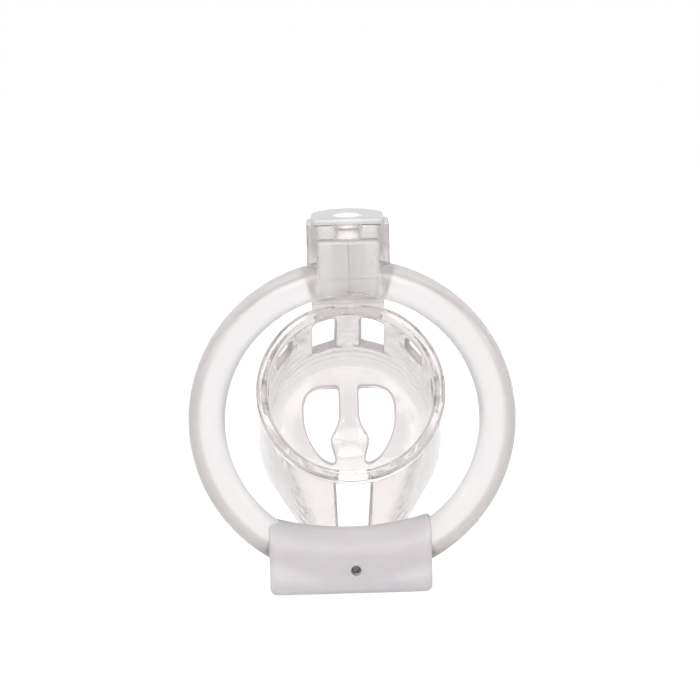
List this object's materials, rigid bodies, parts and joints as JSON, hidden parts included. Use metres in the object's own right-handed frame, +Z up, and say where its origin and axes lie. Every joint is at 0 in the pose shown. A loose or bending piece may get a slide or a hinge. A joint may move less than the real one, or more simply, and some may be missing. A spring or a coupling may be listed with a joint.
{
  "type": "chastity cage",
  "caption": "Short clear chastity cage on a hinged frosted ring with a silicone sleeve, held by a lift-off housing with a key-turned cam lock.",
  "frame": {"origin": "on the flat underside of the sleeve, in the ring's plane of symmetry, where the object stands", "axes": "+Z up, +Y forward through the ring along the cage, +X to the side; the ring's axis is along Y"},
  "size_m": [0.0644, 0.0568, 0.0746],
  "materials": {
    "frosted_plastic": "frosted translucent polycarbonate, satin",
    "clear_plastic": "clear polished polycarbonate",
    "frosted_cap": "milky translucent plastic, satin",
    "silicone": "milky translucent silicone, matt",
    "steel_pin": "turned stainless steel",
    "lock_white": "white acetal",
    "brass_wafer": "stamped brass",
    "spring_steel": "drawn spring wire",
    "lock_steel": "machined stainless steel"
  },
  "bodies": {
    "ring": {"ring_half_left": "frosted_plastic", "ring_half_right": "frosted_plastic", "hinge_pin": "steel_pin"},
    "sleeve": {"ring_sleeve": "silicone"},
    "cage": {"cage_shell": "clear_plastic", "lock_housing": "clear_plastic", "housing_cap": "frosted_cap", "lock_barrel": "lock_white"},
    "lock_core": {"lock_plug": "lock_white", "lock_wafer_1": "brass_wafer", "lock_wafer_2": "brass_wafer", "lock_wafer_3": "brass_wafer", "lock_wafer_4": "brass_wafer", "wafer_spring_1": "spring_steel", "wafer_spring_2": "spring_steel", "wafer_spring_3": "spring_steel", "wafer_spring_4": "spring_steel", "lock_cam": "lock_white", "cam_screw": "lock_steel"}
  },
  "joints": [
    {"name": "cage_lift", "type": "slide", "parent": "ring", "child": "cage", "axis": [0, 0, 1], "range_m": [0, 0.013]},
    {"name": "lock_turn", "type": "hinge", "parent": "cage", "child": "lock_core", "pos_m": [0, 0.0015, 0.0613], "axis": [0, 0, -1], "range_deg": [0, 90]},
    {"name": "sleeve_turn", "type": "hinge", "parent": "ring", "child": "sleeve", "pos_m": [0, 0, 0.0339], "axis": [0, 1, 0], "range_deg": [-60, 60]}
  ]
}
